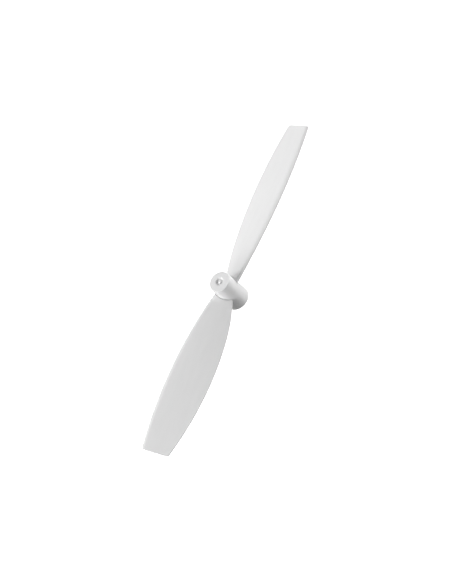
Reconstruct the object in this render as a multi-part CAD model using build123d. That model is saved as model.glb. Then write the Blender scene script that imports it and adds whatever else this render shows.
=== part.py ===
from build123d import *
from math import cos, pi, radians, sin, sqrt
import os

# Two-blade left-hand model propeller. Millimetres.
# +Z is the spin axis and points out of the front end of the hub, the way the thrust pulls.
# The origin is the centre of the shaft's shoulder, which the hub's rear end runs against.
# +X runs along blade_1, and blade_2 is the same blade turned half a turn about Z. Each blade
# leads with its thick edge, on the -Y side of blade_1, and that edge stands nearer to the
# front than the thin trailing edge.

# Driving dimensions: hub
PROP_RADIUS = 63.5          # spin axis to blade tip, for a 5 inch diameter
HUB_LENGTH = 13.2
HUB_FRONT_RADIUS = 3.85
HUB_REAR_RADIUS = 4.5       # moulding draft makes the rear end the larger
FRONT_RIM_FILLET = 0.2
REAR_RIM_FILLET = 0.2
COUNTERBORE_RADIUS = 1.2
COUNTERBORE_DEPTH = 0.6
MOUTH_ROUNDING = 0.5        # of the counterbore's edge

# Driving dimensions: sleeve and shaft
SLEEVE_RADIUS = 1.0
SLEEVE_CHAMFER = 0.08
JOURNAL_RADIUS = 0.5        # the length of shaft that the sleeve runs on
RUNNING_GAP = 0.03          # radial gap from the journal to the sleeve
END_FLOAT = 0.06            # axial gap at each end of the sleeve
HEAD_RADIUS = 0.62          # peened head that keeps the sleeve on the shaft
HEAD_DROP = 0.15            # top of the head below the hub's front face
HEAD_ROUNDING = 0.25
STUB_RADIUS = 0.75          # free end that goes into the motor's coupling
STUB_LENGTH = 3.5
STUB_CHAMFER = 0.15

# Driving dimensions: blade
LEAD_WIDTH = 7.0            # leading edge to the blade's centre line, where that is widest
LEAD_WIDEST_AT = 38.2       # radius of that place
LEAD_SPREAD = 49.5          # the edge's parabola meets the centre line this far from it
TRAIL_WIDTH = 7.95          # the same three for the trailing edge
TRAIL_WIDEST_AT = 35.1
TRAIL_SPREAD = 44.4
TRAIL_NARROWING = 1.1       # what the trailing edge loses on the spin axis, fading outwards
TRAIL_NARROWS_WITHIN = 18.0
PITCH_ROOT = 20.6           # blade angle on the spin axis, degrees
PITCH_TIP = 14.8            # blade angle at the tip, degrees
HEIGHT_ROOT = 7.15          # blade's centre line above the hub's rear face
HEIGHT_TIP = 7.45
THICK_ROOT = 2.4
THICK_TIP = 1.35
EDGE_THICKNESS = 0.6        # trailing edge
NOSE_ROOT = 0.5             # part of the chord ahead of the thickest place
NOSE_TIP = 0.3
NOSE_POWER = 3              # 2 is an elliptical nose, and more is blunter
CAMBER = 0.02               # rise of the mean line, as a part of the chord
LEAD_CORNER_RADIUS = 0.6    # tip corners, seen along the spin axis
TRAIL_CORNER_RADIUS = 1.3
SEAM_GAP = 0.26             # groove left round the root, where the blade meets the hub
SEAT_HALF_CHORD = 2.8       # oval inside the groove that touches the hub
SEAT_HALF_HEIGHT = 0.45
TANG_WIDTH = 3.6
TANG_THICKNESS = 1.1
TANG_START = 1.3            # inner end of the tang, outside the sleeve
TANG_END = 5.0              # buried in the blade
LOFT_START = 1.2            # first section, inside the hub
STATIONS = 10               # sections in the loft
SECTION_STEPS = 8           # points on each side of a section


def blend(root_value, tip_value, radius):
    """A value that changes evenly from the spin axis to the tip."""
    return root_value + (tip_value - root_value) * radius / PROP_RADIUS


def lead_width(radius):
    return LEAD_WIDTH * (1 - ((radius - LEAD_WIDEST_AT) / LEAD_SPREAD) ** 2)


def trail_width(radius):
    narrowing = TRAIL_NARROWING * max(0, 1 - radius / TRAIL_NARROWS_WITHIN) ** 2
    return TRAIL_WIDTH * (1 - ((radius - TRAIL_WIDEST_AT) / TRAIL_SPREAD) ** 2) - narrowing


def half_thickness(share, radius):
    """Half of the section's thickness at a share of the chord: a blunt round nose, then a taper."""
    thickness, nose = blend(THICK_ROOT, THICK_TIP, radius), blend(NOSE_ROOT, NOSE_TIP, radius)
    if share < nose:
        return thickness / 2 * sqrt(1 - (1 - share / nose) ** NOSE_POWER)
    tail = (share - nose) / (1 - nose)
    return EDGE_THICKNESS / 2 + (thickness - EDGE_THICKNESS) / 2 * cos(pi / 2 * tail)


def section_plane(radius):
    """Plane across the blade: its x axis runs from the leading to the trailing edge, z inwards."""
    pitch = radians(blend(PITCH_ROOT, PITCH_TIP, radius))
    origin = (radius, 0, blend(HEIGHT_ROOT, HEIGHT_TIP, radius))
    return Plane(origin=origin, x_dir=(0, cos(pitch), -sin(pitch)), z_dir=(-1, 0, 0))


def section_face(radius):
    """One closed section: a spline round the nose and a straight trailing edge."""
    slant = cos(radians(blend(PITCH_ROOT, PITCH_TIP, radius)))
    lead, trail = lead_width(radius) / slant, trail_width(radius) / slant
    chord = lead + trail
    points = []
    for step in range(-SECTION_STEPS, SECTION_STEPS + 1):
        share = (1 - cos(pi * abs(step) / SECTION_STEPS)) / 2
        side = -1 if step > 0 else 1
        rise = 4 * CAMBER * chord * share * (1 - share)
        points.append((share * chord - lead, rise + side * half_thickness(share, radius)))
    plane = section_plane(radius)
    spline = plane * Spline(*points)
    return make_face([spline, Line(spline @ 1, spline @ 0)])


def planform():
    """Prism seen along the spin axis that squares the tip and rounds its two corners."""
    lead_tip, trail_tip = lead_width(PROP_RADIUS), trail_width(PROP_RADIUS)
    margin = 2 * TRAIL_WIDTH
    outline = Polyline(
        (0, -margin),
        (LEAD_WIDEST_AT, -margin),
        (PROP_RADIUS, -lead_tip),
        (PROP_RADIUS, trail_tip),
        (TRAIL_WIDEST_AT, margin),
        (0, margin),
        close=True,
    )
    face = make_face(outline)
    corners = face.vertices().group_by(Axis.X)[-1].sort_by(Axis.Y)
    face = fillet(corners[0], LEAD_CORNER_RADIUS)
    corners = face.vertices().sort_by(Axis.X)[-2:].sort_by(Axis.Y)
    face = fillet(corners[-1], TRAIL_CORNER_RADIUS)
    return extrude(face, 2 * HUB_LENGTH)


def tang():
    """Flat bar that carries the blade inside the hub, turned to the blade's root angle."""
    length = TANG_END - TANG_START
    bar = Box(TANG_WIDTH, TANG_THICKNESS, length, align=(Align.CENTER, Align.CENTER, Align.MAX))
    return section_plane(TANG_START) * bar


def hub_outside():
    """Outside of the hub: a drafted barrel with two rounded rims."""
    profile = Polyline(
        (0, 0),
        (HUB_REAR_RADIUS, 0),
        (HUB_FRONT_RADIUS, HUB_LENGTH),
        (0, HUB_LENGTH),
        close=True,
    )
    face = make_face(profile)
    face = fillet(face.vertices().sort_by(Axis.X)[-1], REAR_RIM_FILLET)
    front_rim = face.vertices().group_by(Axis.Y)[-1].sort_by(Axis.X)[-1]
    face = fillet(front_rim, FRONT_RIM_FILLET)
    return revolve(Plane.XZ * face, Axis.Z)


def root_groove():
    """Shell round the hub that is cut from a blade's root, except at the oval that touches the hub."""
    shell = Cone(
        HUB_REAR_RADIUS + SEAM_GAP,
        HUB_FRONT_RADIUS + SEAM_GAP,
        HUB_LENGTH,
        align=(Align.CENTER, Align.CENTER, Align.MIN),
    )
    oval = section_plane(0) * Ellipse(SEAT_HALF_CHORD, SEAT_HALF_HEIGHT)
    return shell - extrude(oval, 2 * HUB_REAR_RADIUS, both=True)


def blade():
    """One blade along +X, with its root seated on the hub and its tang inside it."""
    step = (PROP_RADIUS + 1 - LOFT_START) / (STATIONS - 1)
    sections = [section_face(LOFT_START + n * step) for n in range(STATIONS)]
    body = loft(sections) & planform()
    return body - hub_outside() - root_groove() + tang()


def hub_barrel():
    """Hub with its bore, a counterbore with a rounded edge, and a slot on each side for a tang."""
    sleeve_bore = Cylinder(SLEEVE_RADIUS, HUB_LENGTH, align=(Align.CENTER, Align.CENTER, Align.MIN))
    mouth = Cylinder(COUNTERBORE_RADIUS, COUNTERBORE_DEPTH, align=(Align.CENTER, Align.CENTER, Align.MAX))
    barrel = hub_outside() - Pos(0, 0, HUB_LENGTH) * mouth
    front_circles = barrel.faces().sort_by(Axis.Z)[-1].edges().sort_by(SortBy.LENGTH)
    barrel = fillet(front_circles[0], MOUTH_ROUNDING)
    return barrel - sleeve_bore - tang() - Rot(0, 0, 180) * tang()


def shaft_sleeve():
    """Metal sleeve pressed into the hub, from the rear face to the floor of the counterbore."""
    length = HUB_LENGTH - COUNTERBORE_DEPTH
    centred = (Align.CENTER, Align.CENTER, Align.MIN)
    tube = Cylinder(SLEEVE_RADIUS, length, align=centred)
    tube = chamfer(tube.edges().filter_by(GeomType.CIRCLE), SLEEVE_CHAMFER)
    return tube - Cylinder(JOURNAL_RADIUS + RUNNING_GAP, length, align=centred)


def drive_shaft():
    """Steel shaft: thick free end at the rear, journal through the sleeve, peened head in front."""
    journal_top = HUB_LENGTH - COUNTERBORE_DEPTH + 2 * END_FLOAT
    head_top = HUB_LENGTH - HEAD_DROP + END_FLOAT
    outline = Polyline(
        (0, -STUB_LENGTH),
        (STUB_RADIUS - STUB_CHAMFER, -STUB_LENGTH),
        (STUB_RADIUS, STUB_CHAMFER - STUB_LENGTH),
        (STUB_RADIUS, 0),
        (JOURNAL_RADIUS, 0),
        (JOURNAL_RADIUS, journal_top),
        (HEAD_RADIUS, journal_top),
        (HEAD_RADIUS, head_top),
        (0, head_top),
        close=True,
    )
    face = make_face(outline)
    head_rim = face.vertices().group_by(Axis.Y)[-1].sort_by(Axis.X)[-1]
    face = fillet(head_rim, HEAD_ROUNDING)
    return revolve(Plane.XZ * face, Axis.Z)


def write(name, shape):
    shape.label = name
    export_step(shape, os.path.join("parts", name + ".step"))


os.makedirs("parts", exist_ok=True)
hub_seat = Pos(0, 0, END_FLOAT)
half_turn = Rot(0, 0, 180)
write("hub_barrel", hub_seat * hub_barrel())
write("blade_1", hub_seat * blade())
write("blade_2", hub_seat * half_turn * blade())
write("shaft_sleeve", hub_seat * shaft_sleeve())
write("drive_shaft", drive_shaft())
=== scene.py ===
"""Looks of the two-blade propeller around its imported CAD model. Everything is in metres."""
import math

import bmesh
import bpy
from mathutils import Matrix, Vector


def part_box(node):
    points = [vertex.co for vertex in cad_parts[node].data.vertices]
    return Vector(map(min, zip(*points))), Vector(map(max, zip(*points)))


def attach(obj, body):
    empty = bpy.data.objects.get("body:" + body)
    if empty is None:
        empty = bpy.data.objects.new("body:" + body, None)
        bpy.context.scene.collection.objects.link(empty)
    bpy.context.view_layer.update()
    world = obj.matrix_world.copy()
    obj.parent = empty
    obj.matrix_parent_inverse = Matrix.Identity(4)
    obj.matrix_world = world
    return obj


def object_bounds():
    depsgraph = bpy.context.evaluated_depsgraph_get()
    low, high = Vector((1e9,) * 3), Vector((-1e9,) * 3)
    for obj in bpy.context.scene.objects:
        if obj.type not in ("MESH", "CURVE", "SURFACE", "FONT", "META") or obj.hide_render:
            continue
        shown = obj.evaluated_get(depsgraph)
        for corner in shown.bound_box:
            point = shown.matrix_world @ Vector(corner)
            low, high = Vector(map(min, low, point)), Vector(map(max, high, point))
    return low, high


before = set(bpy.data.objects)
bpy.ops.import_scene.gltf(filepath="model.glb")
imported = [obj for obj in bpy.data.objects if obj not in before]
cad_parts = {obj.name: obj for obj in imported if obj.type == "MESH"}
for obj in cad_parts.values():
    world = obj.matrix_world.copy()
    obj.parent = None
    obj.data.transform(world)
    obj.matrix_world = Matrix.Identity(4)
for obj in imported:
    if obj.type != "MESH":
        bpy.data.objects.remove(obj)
cad_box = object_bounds()

MM = 0.001

# The camera looks at the hub from the front and above, rolled so that the blades stand steeply.
AZIMUTH = math.radians(-24.6)
ELEVATION = math.radians(50)
ROLL = math.radians(47)
LEVEL_RIGHT = Vector((math.cos(AZIMUTH), math.sin(AZIMUTH), 0))
VIEW_BACK = Vector((
    math.sin(AZIMUTH) * math.cos(ELEVATION),
    -math.cos(AZIMUTH) * math.cos(ELEVATION),
    math.sin(ELEVATION),
))
LEVEL_UP = VIEW_BACK.cross(LEVEL_RIGHT)
VIEW_RIGHT = LEVEL_RIGHT * math.cos(ROLL) - LEVEL_UP * math.sin(ROLL)
VIEW_UP = LEVEL_RIGHT * math.sin(ROLL) + LEVEL_UP * math.cos(ROLL)
IMAGE_HEIGHT = 200.2 * MM       # what the long side of the picture takes in at the hub
HUB_RIGHT = 0.83 * MM           # hub's middle from the middle of the picture
HUB_ABOVE = 0.7 * MM
LENS_MM = 1250.0
SENSOR_MM = 36.0

FLOOR_DROP = 60 * MM            # floor below the object's lowest point
FLOOR_HALF = 4.0

NYLON_DARK, NYLON_LIGHT = 0.795, 0.813
NYLON_IOR = 1.53
FLOW_BAND = 1.6 * MM            # width of a band that the plastic's flow leaves
MOULD_RIPPLE = 2.5 * MM         # distance between two soft swellings of a moulded face
MOULD_GRAIN = 0.09 * MM
STAIN = 0.5 * MM                # width of a duller patch on the metal
WAVE_SPACING = math.pi / 10     # between the crests of a ring wave whose scale is 1

LATHE_STEPS = 48
EJECTOR_DEGREES = (30, 150, 270)
EJECTOR_SHARE = 0.24            # radius of an ejector pad, as a part of the rear ring's width
GATE_SHARE = 0.2                # the same for the gate stub
SUNK = 0.02 * MM                # how far the marks reach into the hub

SOFT_BOX_SIZE = 0.35
SOFT_BOX_DISTANCE = 0.6
WORLD_FILL = 0.21
# A white tent of soft boxes: name, direction as add_light says, and watts.
LIGHTS = (
    ("front_right", 0, 65, 1.35),
    ("front_upper_right", 45, 65, 0.15),
    ("front_left", 180, 65, 1.35),
    ("front_lower_left", 225, 65, 1.95),
    ("side_upper_right", 36, 90, 3.95),
    ("side_top", 72, 90, 0.3),
    ("side_upper_left", 108, 90, 0.2),
    ("side_left_above", 144, 90, 0.3),
    ("side_left", 180, 90, 0.85),
    ("rear_upper_right", 45, 115, 0.35),
    ("rear_top", 90, 115, 1.0),
    ("rear_upper_left", 135, 115, 0.3),
)


def new_material(name):
    material = bpy.data.materials.new(name)
    material.use_nodes = True
    return material, material.node_tree.nodes, material.node_tree.links


def add_node(nodes, kind, **values):
    """A shader node with its properties or named inputs set."""
    node = nodes.new(kind)
    for name, value in values.items():
        label = name.replace("_", " ").title()
        if hasattr(node, name):
            setattr(node, name, value)
        else:
            node.inputs[label].default_value = value
    return node


def stretched_noise(nodes, links, grain, stretch, detail):
    """Noise fixed to the piece: features about one grain across, longer along X by the stretch."""
    where = nodes.new("ShaderNodeTexCoord")
    mapping = nodes.new("ShaderNodeMapping")
    mapping.inputs["Scale"].default_value = (1 / stretch, 1, 1)
    noise = add_node(nodes, "ShaderNodeTexNoise", scale=1 / grain, detail=detail, roughness=0.55)
    links.new(where.outputs["Object"], mapping.inputs["Vector"])
    links.new(mapping.outputs["Vector"], noise.inputs["Vector"])
    return noise.outputs["Fac"]


def ramp(nodes, links, source, low, high, start=0.3, end=0.7):
    """A value that follows a noise between two limits."""
    spread = add_node(nodes, "ShaderNodeMapRange", from_min=start, from_max=end, to_min=low, to_max=high)
    links.new(source, spread.inputs["Value"])
    return spread.outputs["Result"]


def bump(nodes, links, height, depth, normal=None):
    """Relief of a given depth in metres, laid over an earlier relief."""
    relief = add_node(nodes, "ShaderNodeBump", strength=1.0, distance=depth)
    links.new(height, relief.inputs["Height"])
    if normal:
        links.new(normal, relief.inputs["Normal"])
    return relief.outputs["Normal"]


def grey_mix(nodes, links, factor, dark, light):
    mix = nodes.new("ShaderNodeMix")
    mix.data_type = "RGBA"
    mix.inputs["A"].default_value = (dark, dark, dark, 1)
    mix.inputs["B"].default_value = (light, light, light, 1)
    links.new(factor, mix.inputs["Factor"])
    return mix.outputs["Result"]


def moulded_nylon(name, flow_stretch):
    """White nylon as it leaves the mould: a fine satin grain, faint flow bands, small gloss changes."""
    material, nodes, links = new_material(name)
    shader = nodes["Principled BSDF"]
    shader.inputs["IOR"].default_value = NYLON_IOR
    shader.inputs["Subsurface Weight"].default_value = 0.08
    shader.inputs["Subsurface Radius"].default_value = (1.0, 1.0, 1.0)
    shader.inputs["Subsurface Scale"].default_value = 0.12 * MM
    flow = stretched_noise(nodes, links, FLOW_BAND, flow_stretch, 3)
    grain = stretched_noise(nodes, links, MOULD_GRAIN, 1, 2)
    ripple = stretched_noise(nodes, links, MOULD_RIPPLE, 1, 1)
    links.new(grey_mix(nodes, links, ramp(nodes, links, flow, 0, 1), NYLON_DARK, NYLON_LIGHT),
              shader.inputs["Base Color"])
    links.new(ramp(nodes, links, flow, 0.4, 0.5), shader.inputs["Roughness"])
    normal = bump(nodes, links, ripple, 0.012 * MM)
    normal = bump(nodes, links, flow, 0.003 * MM, normal)
    links.new(bump(nodes, links, grain, 0.002 * MM, normal), shader.inputs["Normal"])
    return material


def turned_metal(name, grey, roughness, spacing):
    """Metal off a lathe: shallow grooves round the spin axis, with small stains in the gloss."""
    material, nodes, links = new_material(name)
    shader = nodes["Principled BSDF"]
    shader.inputs["Metallic"].default_value = 1.0
    where = nodes.new("ShaderNodeTexCoord")
    rings = nodes.new("ShaderNodeTexWave")
    rings.wave_type = "RINGS"
    rings.rings_direction = "Z"
    rings.inputs["Scale"].default_value = WAVE_SPACING / spacing
    rings.inputs["Distortion"].default_value = 0.6
    rings.inputs["Detail Scale"].default_value = 2.0
    links.new(where.outputs["Object"], rings.inputs["Vector"])
    stain = stretched_noise(nodes, links, STAIN, 1, 3)
    links.new(grey_mix(nodes, links, ramp(nodes, links, stain, 0, 1), grey * 0.85, grey),
              shader.inputs["Base Color"])
    links.new(ramp(nodes, links, stain, roughness, roughness + 0.12), shader.inputs["Roughness"])
    links.new(bump(nodes, links, rings.outputs["Fac"], 0.004 * MM), shader.inputs["Normal"])
    return material


def assign(node, material):
    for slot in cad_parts[node].material_slots:
        slot.material = material


hub_nylon = moulded_nylon("hub_nylon", 1.5)
blade_nylon = moulded_nylon("blade_nylon", 7)
assign("hub_barrel", hub_nylon)
assign("blade_1", blade_nylon)
assign("blade_2", blade_nylon)
assign("shaft_sleeve", turned_metal("sleeve_metal", 0.97, 0.7, 0.377 * MM))
assign("drive_shaft", turned_metal("shaft_steel", 0.95, 0.55, 0.251 * MM))


def lathe(name, profile, centre):
    """A closed round piece about an upright line, from (radius, height) points, first and last on it."""
    mesh = bpy.data.meshes.new(name)
    shape = bmesh.new()
    rings = []
    angles = [2 * math.pi * turn / LATHE_STEPS for turn in range(LATHE_STEPS)]
    for radius, height in profile[1:-1]:
        rings.append([shape.verts.new((radius * math.cos(a), radius * math.sin(a), height)) for a in angles])
    first = shape.verts.new((0, 0, profile[0][1]))
    last = shape.verts.new((0, 0, profile[-1][1]))
    for turn in range(LATHE_STEPS):
        after = (turn + 1) % LATHE_STEPS
        shape.faces.new((first, rings[0][after], rings[0][turn]))
        shape.faces.new((last, rings[-1][turn], rings[-1][after]))
        for inner, outer in zip(rings, rings[1:]):
            shape.faces.new((inner[turn], inner[after], outer[after], outer[turn]))
    bmesh.ops.recalc_face_normals(shape, faces=shape.faces)
    bmesh.ops.translate(shape, verts=shape.verts, vec=centre)
    shape.to_mesh(mesh)
    shape.free()
    for face in mesh.polygons:
        face.use_smooth = True
    mesh.materials.append(hub_nylon)
    piece = bpy.data.objects.new(name, mesh)
    bpy.context.scene.collection.objects.link(piece)
    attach(piece, "propeller")


def add_mould_marks():
    """What the mould leaves on the hub's rear face: ejector pads and the nipped-off gate."""
    hub_low, hub_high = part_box("hub_barrel")
    sleeve_low, sleeve_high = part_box("shaft_sleeve")
    hub_radius = (hub_high.x - hub_low.x) / 2
    bore_radius = (sleeve_high.x - sleeve_low.x) / 2
    circle = (hub_radius + bore_radius) / 2
    pad = EJECTOR_SHARE * (hub_radius - bore_radius)
    pad_profile = ((0, -0.015 * MM), (0.72 * pad, -0.015 * MM), (0.8 * pad, -0.05 * MM),
                   (0.94 * pad, -0.05 * MM), (pad, -0.02 * MM), (pad, SUNK), (0, SUNK))
    for number, degrees in enumerate(EJECTOR_DEGREES, start=1):
        around = math.radians(degrees)
        centre = (circle * math.cos(around), circle * math.sin(around), hub_low.z)
        lathe(f"ejector_mark_{number}", pad_profile, centre)
    gate = GATE_SHARE * (hub_radius - bore_radius)
    gate_profile = ((0, -0.11 * MM), (0.45 * gate, -0.12 * MM), (0.8 * gate, -0.09 * MM),
                    (gate, -0.03 * MM), (1.08 * gate, SUNK), (0, SUNK))
    lathe("gate_stub", gate_profile, (0, circle, hub_low.z))


def add_floor():
    """A plain white floor that the eye can't tell from the world, and that lights nothing."""
    z = cad_box[0].z - FLOOR_DROP
    corners = [(x * FLOOR_HALF, y * FLOOR_HALF, z) for x, y in ((-1, -1), (1, -1), (1, 1), (-1, 1))]
    mesh = bpy.data.meshes.new("floor")
    mesh.from_pydata(corners, [], [(0, 1, 2, 3)])
    floor = bpy.data.objects.new("floor", mesh)
    bpy.context.scene.collection.objects.link(floor)
    material, nodes, _ = new_material("floor_white")
    shader = nodes["Principled BSDF"]
    shader.inputs["Base Color"].default_value = (0.9, 0.9, 0.9, 1)
    shader.inputs["Roughness"].default_value = 0.8
    shader.inputs["Emission Color"].default_value = (1, 1, 1, 1)
    shader.inputs["Emission Strength"].default_value = 1.0
    mesh.materials.append(material)
    floor.visible_diffuse = False
    floor.visible_glossy = False


def add_camera():
    data = bpy.data.cameras.new("camera")
    data.sensor_width = SENSOR_MM
    data.lens = LENS_MM
    distance = IMAGE_HEIGHT * LENS_MM / SENSOR_MM
    low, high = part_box("hub_barrel")
    target = (low + high) / 2 - VIEW_RIGHT * HUB_RIGHT - VIEW_UP * HUB_ABOVE
    camera = bpy.data.objects.new("camera", data)
    rotation = Matrix((VIEW_RIGHT, VIEW_UP, VIEW_BACK)).transposed()
    camera.matrix_world = Matrix.Translation(target + VIEW_BACK * distance) @ rotation.to_4x4()
    data.clip_end = 2 * distance
    bpy.context.scene.collection.objects.link(camera)
    bpy.context.scene.camera = camera


def add_light(name, around, off_axis, power):
    """A round soft box: degrees anticlockwise from the picture's right, and degrees off the lens axis."""
    around, off_axis = math.radians(around), math.radians(off_axis)
    sideways = VIEW_RIGHT * math.cos(around) + VIEW_UP * math.sin(around)
    direction = sideways * math.sin(off_axis) + VIEW_BACK * math.cos(off_axis)
    data = bpy.data.lights.new(name, "AREA")
    data.shape = "DISK"
    data.size = SOFT_BOX_SIZE
    data.energy = power
    light = bpy.data.objects.new(name, data)
    light.location = direction * SOFT_BOX_DISTANCE
    light.rotation_mode = "QUATERNION"
    light.rotation_quaternion = direction.to_track_quat("Z", "Y")
    bpy.context.scene.collection.objects.link(light)


def add_world():
    """White to the eye, but only a faint fill light on the object."""
    world = bpy.data.worlds.new("world")
    bpy.context.scene.world = world
    world.use_nodes = True
    nodes, links = world.node_tree.nodes, world.node_tree.links
    background = nodes["Background"]
    background.inputs["Color"].default_value = (1, 1, 1, 1)
    path = nodes.new("ShaderNodeLightPath")
    strength = add_node(nodes, "ShaderNodeMapRange", to_min=WORLD_FILL, to_max=1.0)
    links.new(path.outputs["Is Camera Ray"], strength.inputs["Value"])
    links.new(strength.outputs["Result"], background.inputs["Strength"])


add_mould_marks()
add_floor()
add_camera()
for name, around, off_axis, power in LIGHTS:
    add_light(name, around, off_axis, power)
add_world()
bpy.context.scene.view_settings.view_transform = "Standard"
